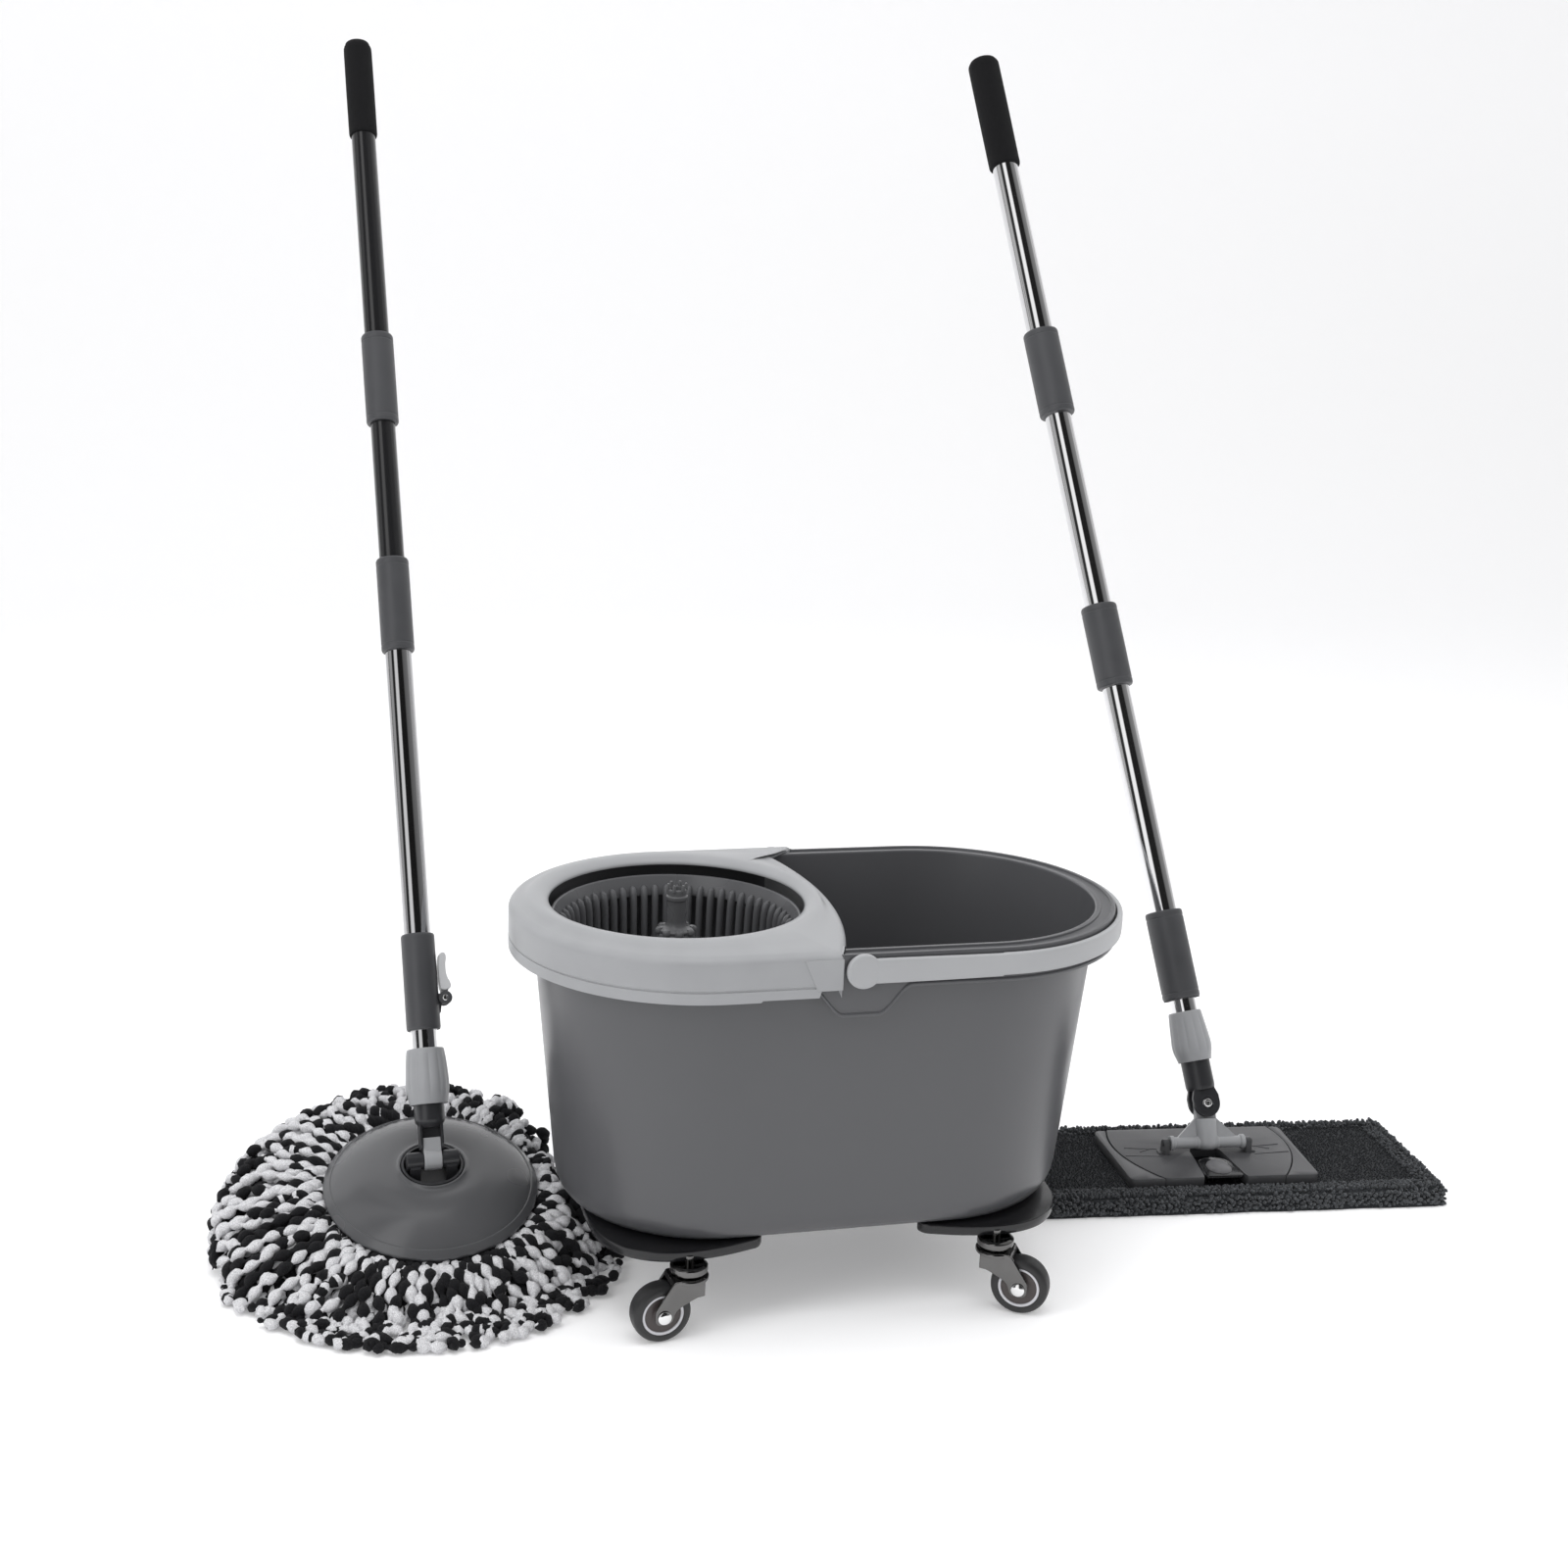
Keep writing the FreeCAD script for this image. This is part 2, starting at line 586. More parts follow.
# ---------------------------------------------------------------- bucket
def bucket_shell():
    """Tapered oval tub with a flanged rim, a skirt, pivot lobes and floor bosses."""
    wall = S.shell_wall
    mouth_length = S.rim_length - S.rim_overhang * 2
    mouth_width = S.rim_width - S.rim_overhang * 2 + wall
    under_rim = S.rim_height - S.rim_thick
    outside = tub("TubOutside", (S.base_length, S.base_width, S.base_height),
                  (mouth_length, mouth_width, under_rim), S.base_round)
    inside = tub("TubInside",
                 (S.base_length - wall * 2, S.base_width - wall * 2, S.base_height + wall),
                 (mouth_length - wall * 2, mouth_width - wall * 2, S.rim_height),
                 S.base_round - wall)
    rim = stadium("RimOutside", S.rim_length, S.rim_width, S.rim_height - S.skirt_drop, S.skirt_drop)
    rim_inside = stadium("RimInside", S.rim_length - S.skirt_wall * 2, S.rim_width - S.skirt_wall * 2,
                         S.rim_height - S.skirt_drop, S.skirt_drop - S.rim_thick)
    parts = [outside, cut("Rim", rim, rim_inside)]
    holes = [inside]
    pivot_z = S.rim_height - S.pivot_drop
    for side in (-1, 1):
        face = (S.rim_width - S.skirt_wall) / 2 * side
        lobe = cross_pin("Lobe", S.lobe_radius, S.skirt_wall, S.pivot_x, face, pivot_z)
        below = block("LobeLimit", S.lobe_radius * 2, S.skirt_wall * 2, S.lobe_radius * 2,
                      S.pivot_x, face, S.rim_height - S.lobe_radius * 2)
        parts.append(common("LobePlate", lobe, below))
        bore = S.pin_radius + S.running_gap
        holes.append(cross_pin("PivotBore", bore, S.skirt_wall * 2, S.pivot_x, face, pivot_z))
    ledge_x = S.rim_length / 2 + S.bail_gap
    parts.append(block("BailLedge", S.bail_gap * 4 + S.skirt_wall, S.rest_width, S.rest_thick,
                       ledge_x, 0, pivot_z + S.bail_lift - S.rest_thick - S.thrust_gap))
    for x, y in screw_places():
        floor = S.base_height + wall
        parts.append(cylinder("ScrewBoss", S.boss_radius, S.boss_height, at(x, y, floor)))
        holes.append(cylinder("ScrewHole", S.screw_radius, S.screw_bite, at(x, y, S.base_height)))
    hollow = cut("HollowTub", fuse("TubAndRim", *parts[:2]), holes[0])
    whole = fuse("TubWithBosses", hollow, *parts[2:])
    piece("bucket_shell", cut("BucketShell", whole, *holes[1:]), BUCKET)


def screw_places(sides=(-1, 1)):
    """Plan places of the caster plate screws, on the left and the right plate."""
    pairs = ((S.screw_near_x, S.screw_near_y), (S.screw_far_x, S.screw_far_y))
    return [(x * side, y * half) for side in sides for half in (-1, 1) for x, y in pairs]


def splash_cover():
    """Light cover over the wringer end: skirt, deck, raised ring and curved divider."""
    wall, gap = S.cover_wall, S.cover_gap
    grow = (wall + gap) * 2
    deck = S.rim_height + gap
    low = S.rim_height - S.cover_drop
    outside = stadium("CoverOutside", S.rim_length + grow, S.rim_width + grow, low,
                      S.cover_drop + gap + wall)
    inside = stadium("CoverInside", S.rim_length + gap * 2, S.rim_width + gap * 2, low,
                     S.cover_drop + gap)
    centre = at(S.divider_x - S.divider_radius, 0, low)
    reach = cylinder("CoverReach", S.divider_radius, S.cover_drop * 2, centre)
    opening = cylinder("CoverOpening", S.ring_radius, S.cover_drop * 2, at(S.ring_x, 0, low))
    shell = cut("CoverShell", common("CoverPlan", outside, reach), inside, opening)
    edge = S.ring_radius + S.ring_width
    crest = deck + wall + S.ring_rise
    ring = turned("CoverRing", [
        (S.ring_radius, deck - S.ring_lip),
        (S.ring_radius, deck + wall),
        (S.ring_radius + S.ring_width / 3, crest),
        (edge, deck + wall),
        (edge, deck),
        (S.ring_radius + S.ring_width / 3, crest - wall),
        (S.ring_radius + wall, deck),
        (S.ring_radius + wall, deck - S.ring_lip),
    ], bows={1: S.ring_rise / 4, 2: S.ring_rise / 4})
    ring.Placement = at(S.ring_x)
    wall_low = S.rim_height - S.divider_depth
    centre = at(S.divider_x - S.divider_radius, 0, wall_low)
    outer = cylinder("DividerOutside", S.divider_radius, S.divider_depth + gap + wall, centre)
    inner = cylinder("DividerInside", S.divider_radius - wall, S.divider_depth + gap + wall, centre)
    limit_width = S.rim_width - S.rim_overhang * 2 - S.divider_side_gap * 2
    limit = block("DividerLimit", S.ring_radius * 2, limit_width, S.divider_depth * 2, 0, 0, wall_low)
    limit.Placement = at(float(S.divider_x) - float(S.ring_radius), -float(limit_width) / 2, wall_low)
    divider = common("Divider", cut("DividerArc", outer, inner), limit)
    piece("splash_cover", fuse("SplashCover", shell, ring, divider), BUCKET)


def carry_handle():
    """U-shaped bail band with a pivot disc, a neck and a pin at each end."""
    grow = (S.bail_gap + S.bail_thick) * 2
    low = S.rim_height - S.pivot_drop + S.bail_lift
    pivot_z = S.rim_height - S.pivot_drop
    outside = stadium("BailOutside", S.rim_length + grow, S.rim_width + grow, low, S.bail_depth)
    inside = stadium("BailInside", S.rim_length + S.bail_gap * 2, S.rim_width + S.bail_gap * 2,
                     low, S.bail_depth)
    half = block("BailHalf", S.rim_length, S.rim_width * 2, S.bail_depth * 3, 0, 0, low - S.bail_depth)
    half.Placement = at(S.pivot_x, -float(S.rim_width), low - S.bail_depth)
    parts = [common("BailBand", cut("BailLoop", outside, inside), half)]
    face = (S.rim_width + S.bail_thick) / 2 + S.bail_gap
    for side in (-1, 1):
        parts.append(cross_pin("BailDisc", S.bail_disc, S.bail_thick, S.pivot_x, face * side, pivot_z))
        neck = pad_outline("BailNeck", "XZ_Plane", [
            (S.pivot_x, pivot_z - S.bail_disc * 0.8),
            (S.pivot_x + S.bail_neck, low),
            (S.pivot_x + S.bail_neck, low + S.bail_depth),
            (S.pivot_x, pivot_z + S.bail_disc * 0.8),
        ], S.bail_thick)
        neck.Placement = at(0, face * side, 0)
        parts.append(neck)
        pin_length = S.bail_gap + S.skirt_wall * 2
        middle = ((S.rim_width - S.skirt_wall * 2) / 2 + (S.bail_gap + S.skirt_wall) / 2) * side
        parts.append(cross_pin("BailPin", S.pin_radius, pin_length, S.pivot_x, middle, pivot_z))
    piece("carry_handle", fuse("CarryHandle", *parts), BUCKET)


def wringer():
    """Slotted basket with its post and bush, on a spindle that stands in a pedestal."""
    top = S.rim_height - S.basket_top
    floor = top - S.basket_depth
    collar = S.ring_radius - S.basket_gap
    wall_top = collar - S.collar_slope
    wall_low = wall_top - S.basket_taper
    hub_top = S.rim_height - S.hub_drop
    tail = floor - S.hub_tail
    under_collar = top - S.collar_depth
    floor_top = floor + S.basket_floor
    cage = turned("BasketCage", [
        (S.bush_radius, tail),
        (S.hub_radius, tail),
        (S.hub_radius, hub_top - S.hub_roof),
        (S.hub_cone - S.basket_floor, floor),
        (wall_low, floor),
        (wall_top, under_collar),
        (collar, top - S.basket_floor),
        (collar, top),
        (collar - S.basket_floor, top),
        (wall_top - S.basket_wall, under_collar),
        (wall_low - S.basket_wall, floor_top),
        (S.hub_cone, floor_top),
        (S.hub_radius + S.basket_floor, hub_top),
        (ZERO, hub_top),
        (ZERO, hub_top - S.hub_roof),
        (S.bush_radius, hub_top - S.hub_roof),
    ])
    margin = S.basket_wall
    slot = outline(cage, "XZ_Plane", [
        (wall_low - margin * 2, floor_top + margin),
        (collar + margin, floor_top + margin),
        (collar + margin, under_collar - S.basket_floor),
        (wall_low - margin * 2, under_collar - S.basket_floor),
    ])
    doc.recompute()
    before = cage.Shape.Volume
    pocket = cage.newObject("PartDesign::Pocket", "BasketSlot")
    pocket.Profile = slot
    pocket.Midplane = True
    bind(pocket, Length=S.slot_width)
    doc.recompute()
    if cage.Shape.Volume >= before - 1:
        raise RuntimeError("the basket slot cut nothing")
    pattern = cage.newObject("PartDesign::PolarPattern", "BasketSlots")
    pattern.Originals = [pocket]
    pattern.Axis = (slot, ["V_Axis"])
    pattern.Angle = 360
    pattern.Occurrences = int(float(S.slot_count))
    cage.Tip = pattern
    piece("basket_cage", cage, RING)

    bore = S.spindle_radius + S.running_gap
    seat = tail - S.thrust_gap
    bush_top = hub_top - S.hub_roof
    piece("basket_bush", turned("BasketBush", [
        (bore, tail), (S.bush_radius, tail), (S.bush_radius, bush_top), (bore, bush_top)]), RING)

    post = turned("PostTurned", [
        (ZERO, hub_top),
        (S.post_flange, hub_top),
        (S.post_flange, hub_top + S.flange_thick / 2),
        (S.post_radius, hub_top + S.flange_thick),
        (S.post_radius, hub_top + S.post_height - S.crown_height),
        (S.crown_radius, hub_top + S.post_height - S.crown_height),
        (S.crown_radius, hub_top + S.post_height),
        (ZERO, hub_top + S.post_height),
    ])
    notches = []
    for step in range(6):
        angle = math.radians(60 * step)
        rim_x, rim_y = math.cos(angle), math.sin(angle)
        notches.append(cylinder("Scallop", S.scallop_radius, S.flange_thick * 2,
                                at(S.post_flange * rim_x, S.post_flange * rim_y, hub_top)))
        notches.append(cylinder("Notch", S.scallop_radius / 2, S.crown_height,
                                at(S.crown_radius * rim_x, S.crown_radius * rim_y,
                                   hub_top + S.post_height - S.crown_height / 2)))
    piece("basket_post", cut("BasketPost", post, *notches), RING)

    floor_inside = S.base_height + S.shell_wall
    pedestal_top = seat - S.spindle_flange / 4
    wall = S.pedestal_wall
    piece("basket_pedestal", turned("BasketPedestal", [
        (S.pedestal_low - wall, floor_inside),
        (S.pedestal_foot, floor_inside),
        (S.pedestal_foot, floor_inside + wall),
        (S.pedestal_low, floor_inside + wall),
        (S.pedestal_high, pedestal_top),
        (S.spindle_radius, pedestal_top),
        (S.spindle_radius, pedestal_top - S.spindle_seat),
        (S.pedestal_high - wall, pedestal_top - S.spindle_seat),
    ]), RING)
    tip = hub_top - S.hub_roof - S.thrust_gap
    piece("basket_spindle", turned("BasketSpindle", [
        (ZERO, pedestal_top - S.spindle_seat),
        (S.spindle_radius, pedestal_top - S.spindle_seat),
        (S.spindle_radius, pedestal_top),
        (S.spindle_flange, pedestal_top),
        (S.spindle_flange, seat),
        (S.spindle_radius, seat),
        (S.spindle_radius, tip),
        (ZERO, tip),
    ]), RING)


def caster_plates():
    """Black plates under both ends of the base, with their screws and the four kingpins."""
    low = S.base_height - S.plate_thick
    for name, side in (("left", -1), ("right", 1)):
        middle = (S.plate_inner + S.plate_outer) / 2 * side
        parts = [block("PlateMiddle", S.plate_outer - S.plate_inner, S.plate_width, S.plate_thick,
                       middle, 0, low)]
        holes = []
        for half in (-1, 1):
            place = at(S.plate_lobe_x * side, S.plate_lobe_y * half, low)
            parts.append(cylinder("PlateLobe", S.plate_lobe, S.plate_thick, place))
            place = at(S.caster_x * side, S.caster_y * half, low)
            holes.append(cylinder("KingpinSeat", S.kingpin_radius, S.kingpin_seat, place))
        for x, y in screw_places((side,)):
            clearance = S.screw_radius + S.cover_gap
            holes.append(cylinder("ScrewPass", clearance, S.plate_thick, at(x, y, low)))
            wide = S.screw_head + S.cover_gap
            holes.append(cylinder("ScrewSink", wide, S.screw_sink, at(x, y, low)))
        plate = cut("CasterPlate" + name.title(), fuse("Plate" + name.title(), *parts), *holes)
        piece(f"caster_plate_{name}", plate, BUCKET)
    screws = []
    for x, y in screw_places():
        under = low + S.screw_sink
        head = under - S.screw_head_thick
        shank = S.base_height + S.screw_bite - under
        screws.append(cylinder("ScrewHead", S.screw_head, S.screw_head_thick, at(x, y, head)))
        screws.append(cylinder("ScrewShank", S.screw_radius, shank, at(x, y, under)))
    piece("plate_screws", fuse("PlateScrews", *screws), BUCKET)

    race_low = low - S.raceway_thick
    head_top = race_low - S.bridge_thick - S.swivel_gap * 2
    pins = []
    for side, half, _ in CASTERS.values():
        pin = turned("Kingpin", [
            (ZERO, head_top - S.kingpin_head_thick),
            (S.kingpin_head, head_top - S.kingpin_head_thick),
            (S.kingpin_head, head_top),
            (S.kingpin_radius, head_top),
            (S.kingpin_radius, race_low),
            (S.raceway_radius - S.bail_lift * 2, race_low),
            (S.raceway_radius, race_low + S.raceway_thick / 3),
            (S.raceway_radius, low),
            (S.kingpin_radius, low),
            (S.kingpin_radius, low + S.kingpin_seat),
            (ZERO, low + S.kingpin_seat),
        ])
        pin.Placement = at(S.caster_x * side, S.caster_y * half)
        pins.append(pin)
    piece("caster_kingpins", fuse("CasterKingpins", *pins), BUCKET)


def caster(name, side, half, swivel):
    """Steel fork that swivels on its kingpin, with a wheel on a riveted axle."""
    frame = BUCKET.multiply(at(S.caster_x * side, S.caster_y * half, 0,
                               Rotation(Z_AXIS, float(swivel))))
    title = name.title().replace("_", "")
    top = S.base_height - S.plate_thick - S.raceway_thick - S.swivel_gap
    under = top - S.bridge_thick
    inner_width = S.wheel_width + S.fork_gap * 2
    axle_z = S.wheel_radius
    sides = pad_outline("ForkSides" + title, "XZ_Plane", [
        (-S.fork_back, under),
        (-S.fork_back, top),
        (S.bridge_radius, top),
        (S.trail + S.fork_foot, axle_z + S.fork_foot),
        (S.trail + S.fork_foot, axle_z - S.fork_foot),
        (S.trail - S.fork_foot, axle_z - S.fork_foot),
    ], inner_width + S.fork_side * 2)
    bridge = cylinder("ForkBridge", S.bridge_radius, S.bridge_thick, at(z=under))
    gap = block("ForkSlot", S.wheel_radius * 4, inner_width, under, 0, 0, ZERO)
    hole = cylinder("ForkHole", S.kingpin_radius + S.running_gap, S.bridge_thick, at(z=under))
    eye = cross_pin("ForkEye", S.axle_radius, S.wheel_width * 3, S.trail, 0, axle_z)
    fork = cut("Fork" + title, fuse("ForkBody" + title, sides, bridge), gap, hole, eye)
    piece(f"fork_{name}", fork, frame)

    full = inner_width + S.fork_side * 2
    caps = [cross_pin("AxleCap", S.axle_cap, S.axle_cap_thick, S.trail,
                      (full + S.axle_cap_thick) / 2 * end, axle_z) for end in (-1, 1)]
    rod = cross_pin("AxleRod", S.axle_radius, full, S.trail, 0, axle_z)
    piece(f"axle_{name}", fuse("Axle" + title, rod, *caps), frame)

    half_width = S.wheel_width / 2
    bore = S.axle_radius + S.running_gap
    dish = half_width - S.hub_recess
    tread = S.wheel_radius - S.tyre_round
    wheel = turned("Wheel" + title, [
        (bore, -half_width),
        (S.axle_cap, -half_width),
        (S.axle_cap + S.hub_recess, -dish),
        (S.hub_face, -dish),
        (tread, -half_width),
        (S.wheel_radius, S.tyre_round - half_width),
        (S.wheel_radius, half_width - S.tyre_round),
        (tread, half_width),
        (S.hub_face, dish),
        (S.axle_cap + S.hub_recess, dish),
        (S.axle_cap, half_width),
        (bore, half_width),
    ], bows={4: -S.tyre_round * 0.29, 6: -S.tyre_round * 0.29})
    wheel.Placement = at(S.trail, 0, axle_z, Rotation(X_AXIS, 90))
    piece(f"wheel_{name}", wheel, frame)


# ---------------------------------------------------------------- spin mop
def spin_head():
    """Domed disc that turns round the turntable, with the yarn ring and the yarn below it."""
    wall = S.head_wall
    seat = S.socket_radius + S.socket_wall
    dome = turned("HeadDome", [
        (seat, S.dome_rise),
        (S.head_radius, S.head_rim),
        (S.head_radius, ZERO),
        (S.head_radius - wall, ZERO),
        (seat, S.dome_rise - wall),
    ], bows={0: S.dome_sag, 3: -S.dome_sag})
    socket = turned("HeadSocket", [
        (S.socket_radius, S.socket_low),
        (seat, S.socket_low),
        (seat, S.socket_high),
        (S.socket_radius, S.socket_high),
    ])
    piece("head_disc", fuse("HeadDisc", dome, socket), HEAD)

    outer = S.socket_radius - S.running_gap
    flange_top = S.socket_low - S.thrust_gap
    flange_low = flange_top - S.turntable_flange_thick
    floor = flange_low + S.turntable_floor
    lip = S.socket_high - S.swivel_gap * 2
    cup = turned("TurntableCup", [
        (ZERO, flange_low),
        (S.turntable_flange, flange_low),
        (S.turntable_flange, flange_top),
        (outer, flange_top),
        (outer, lip),
        (outer - S.turntable_wall, lip),
        (outer - S.turntable_wall, floor),
        (ZERO, floor),
    ])
    blocks = []
    for side in (-1, 1):
        middle = (S.saddle_inner + S.saddle_width / 2) * side
        blocks.append(block("Saddle", S.saddle_width, S.saddle_depth, S.knuckle_height - floor,
                            middle, 0, floor))
    bore = cross_pin("SaddleBore", S.barrel_radius + S.running_gap, S.barrel_length * 2,
                     0, 0, S.knuckle_height, X_AXIS)
    saddles = cut("Saddles", fuse("SaddleBlocks", *blocks), bore)
    room = cylinder("SaddleRoom", outer - S.turntable_wall, S.knuckle_height, at(z=flange_low))
    piece("head_turntable", fuse("HeadTurntable", cup, common("SaddlesTrimmed", saddles, room)), HEAD)

    piece("yarn_ring", turned("YarnRing", [
        (S.yarn_ring_inner, -S.yarn_ring_low),
        (S.yarn_ring_outer, -S.yarn_ring_low),
        (S.yarn_ring_outer, ZERO),
        (S.yarn_ring_inner, ZERO),
    ]), HEAD)

    edge = S.head_radius + S.cover_gap
    yarn = turned("YarnTurned", [
        (S.yarn_inner, -S.yarn_depth),
        (S.yarn_radius - S.yarn_droop / 2, -S.yarn_depth),
        (S.yarn_radius, -S.yarn_droop * 2),
        (S.yarn_radius - S.yarn_swell, -S.yarn_droop),
        (edge + S.yarn_droop, S.yarn_swell),
        (edge, S.yarn_swell),
        (edge, -S.thrust_gap),
        (S.yarn_ring_outer + S.cover_gap, -S.thrust_gap),
        (S.yarn_ring_outer + S.cover_gap, -S.yarn_ring_low - S.thrust_gap),
        (S.yarn_inner, -S.yarn_ring_low - S.thrust_gap),
    ], bows={3: -S.yarn_swell})
    below = block("FloorBlock", S.yarn_radius * 4, S.yarn_radius * 4, S.yarn_depth * 2,
                  0, 0, -S.yarn_depth * 2)
    below.Placement = HEAD.inverse().multiply(SPIN).multiply(below.Placement)
    sweep = S.trail + S.wheel_radius + S.wheel_width / 4 + S.yarn_caster_gap
    caster_place = BUCKET.multiply(at(-S.caster_x, S.caster_y, -S.yarn_depth))
    clear = cylinder("CasterSweep", sweep, S.yarn_depth * 3, HEAD.inverse().multiply(caster_place))
    low = S.base_height - S.plate_thick - S.yarn_caster_gap
    lobe_place = BUCKET.multiply(at(-S.plate_lobe_x, S.plate_lobe_y, low))
    lobe = cylinder("PlateLobeSide", S.plate_lobe + S.yarn_caster_gap, S.yarn_depth,
                    HEAD.inverse().multiply(lobe_place))
    side = block("PlateSide", (S.plate_outer + S.yarn_caster_gap) * 2,
                 S.plate_width + S.yarn_caster_gap * 2, S.yarn_depth)
    side.Placement = HEAD.inverse().multiply(BUCKET).multiply(at(0, 0, low)).multiply(side.Placement)
    piece("yarn", cut("Yarn", yarn, below, clear, lobe, side), HEAD)


def knuckle():
    """Barrel in the turntable's saddles, with the tongue that the handle's fork holds."""
    outer = (S.barrel_length - S.tongue_width) / 2
    halves = []
    for side in (-1, 1):
        middle = (S.tongue_width + outer) / 2 * side
        halves.append(cross_pin("BarrelHalf", S.barrel_radius, outer, middle, 0, 0, X_AXIS))
    pin = cross_pin("BarrelPin", S.barrel_pin, S.tongue_width, 0, 0, 0, X_AXIS)
    piece("knuckle_barrel", fuse("KnuckleBarrel", *halves, pin), HANDLE)

    eye = cross_pin("TongueEye", S.tongue_eye, S.tongue_width, 0, 0, 0, X_AXIS)
    stem = block("TongueStem", S.tongue_width, S.tongue_depth, S.tongue_height, 0, 0, ZERO)
    hole = cross_pin("TongueHole", S.barrel_pin, S.tongue_width * 2, 0, 0, 0, X_AXIS)
    piece("knuckle_tongue", cut("KnuckleTongue", fuse("TongueBody", eye, stem), hole), HANDLE)


def spin_socket():
    """Dark socket whose fork grips the tongue, and the ribbed screw collar over it."""
    round_low = S.tongue_height + S.thrust_gap
    shoulder = turned("SocketTurned", [
        (ZERO, round_low),
        (S.tongue_eye, round_low),
        (S.socket_tube_radius, round_low + S.tongue_eye / 2),
        (S.socket_tube_radius, S.spigot_high),
        (ZERO, S.spigot_high),
    ])
    ears = []
    for side in (-1, 1):
        middle = (S.tongue_width / 2 + S.ear_thick / 2) * side
        ears.append(block("ForkEar", S.ear_thick, S.ear_depth, round_low + S.ear_thick * 3 - S.fork_low,
                          middle, 0, S.fork_low))
    gap = cross_pin("EarRelief", S.barrel_radius + S.thrust_gap, S.barrel_length * 2, 0, 0, 0, X_AXIS)
    piece("spin_socket", cut("SpinSocket", fuse("SpinSocketBody", shoulder, *ears), gap), HANDLE)

    bore_low = S.socket_tube_radius
    bore_high = S.lower_tube_radius - S.tube_wall - S.running_gap
    piece("spin_collar", turned("SpinCollar", [
        (bore_low, S.collar_low),
        (S.collar_low_radius, S.collar_low),
        (S.collar_wide_radius, S.collar_wide),
        (S.collar_high_radius, S.collar_high),
        (bore_high, S.collar_high),
        (bore_high, S.spigot_high),
        (bore_low, S.spigot_high),
    ], bows={1: S.running_gap * 10, 2: S.running_gap * 20}), HANDLE)


def drive_parts():
    """Inner tube with the drive nut in its top, and the rod that turns the nut."""
    radius = S.lower_tube_radius - S.tube_wall - S.running_gap
    bore = radius - S.inner_tube_wall
    top = S.inner_tube_high
    nut_low = top - S.nut_stop - S.nut_gap - S.nut_thick
    stop_low = nut_low - S.nut_gap - S.nut_stop
    neck = S.rod_radius * 2
    piece("spin_inner_tube", turned("SpinInnerTube", [
        (bore, S.spigot_high),
        (radius, S.spigot_high),
        (radius, top),
        (neck, top),
        (neck, top - S.nut_stop),
        (bore, top - S.nut_stop),
        (bore, stop_low + S.nut_stop),
        (neck, stop_low + S.nut_stop),
        (neck, stop_low),
        (bore, stop_low),
    ]), HANDLE)
    nut_bore = S.rod_radius + S.running_gap
    nut_radius = bore - S.running_gap
    piece("drive_nut", turned("DriveNut", [
        (nut_bore, nut_low), (nut_radius, nut_low),
        (nut_radius, nut_low + S.nut_thick), (nut_bore, nut_low + S.nut_thick)]), HANDLE)
    plug_top = (S.sleeve_a_low + S.sleeve_a_high) / 2
    plug = S.lower_tube_radius - S.tube_wall
    piece("drive_rod", turned("DriveRod", [
        (ZERO, S.rod_low),
        (S.rod_radius, S.rod_low),
        (S.rod_radius, plug_top - S.rod_plug),
        (plug, plug_top - S.rod_plug),
        (plug, plug_top),
        (ZERO, plug_top),
    ]), HANDLE)


def tube(label, name, radius, wall, low, high, frame):
    """A round tube along a handle."""
    piece(label, turned(name, [
        (radius - wall, low), (radius, low), (radius, high), (radius - wall, high)]), frame)


def sleeve(label, name, radius, bore, low, high, frame):
    """A soft sleeve with rounded ends over a tube."""
    soft = (radius - bore) / 2
    piece(label, turned(name, [
        (bore, low), (radius - soft, low), (radius, low + soft),
        (radius, high - soft), (radius - soft, high), (bore, high)]), frame)


def grip(label, name, radius, tube_radius, low, high, frame):
    """A foam grip with a domed end that closes over the end of a tube."""
    tube_top = high - S.grip_wall
    piece(label, turned(name, [
        (tube_radius, low),
        (radius, low),
        (radius, high - radius * 0.75),
        (radius * 0.35, high),
        (ZERO, high),
        (ZERO, tube_top),
        (tube_radius, tube_top),
    ], bows={2: -radius * 0.2}), frame)


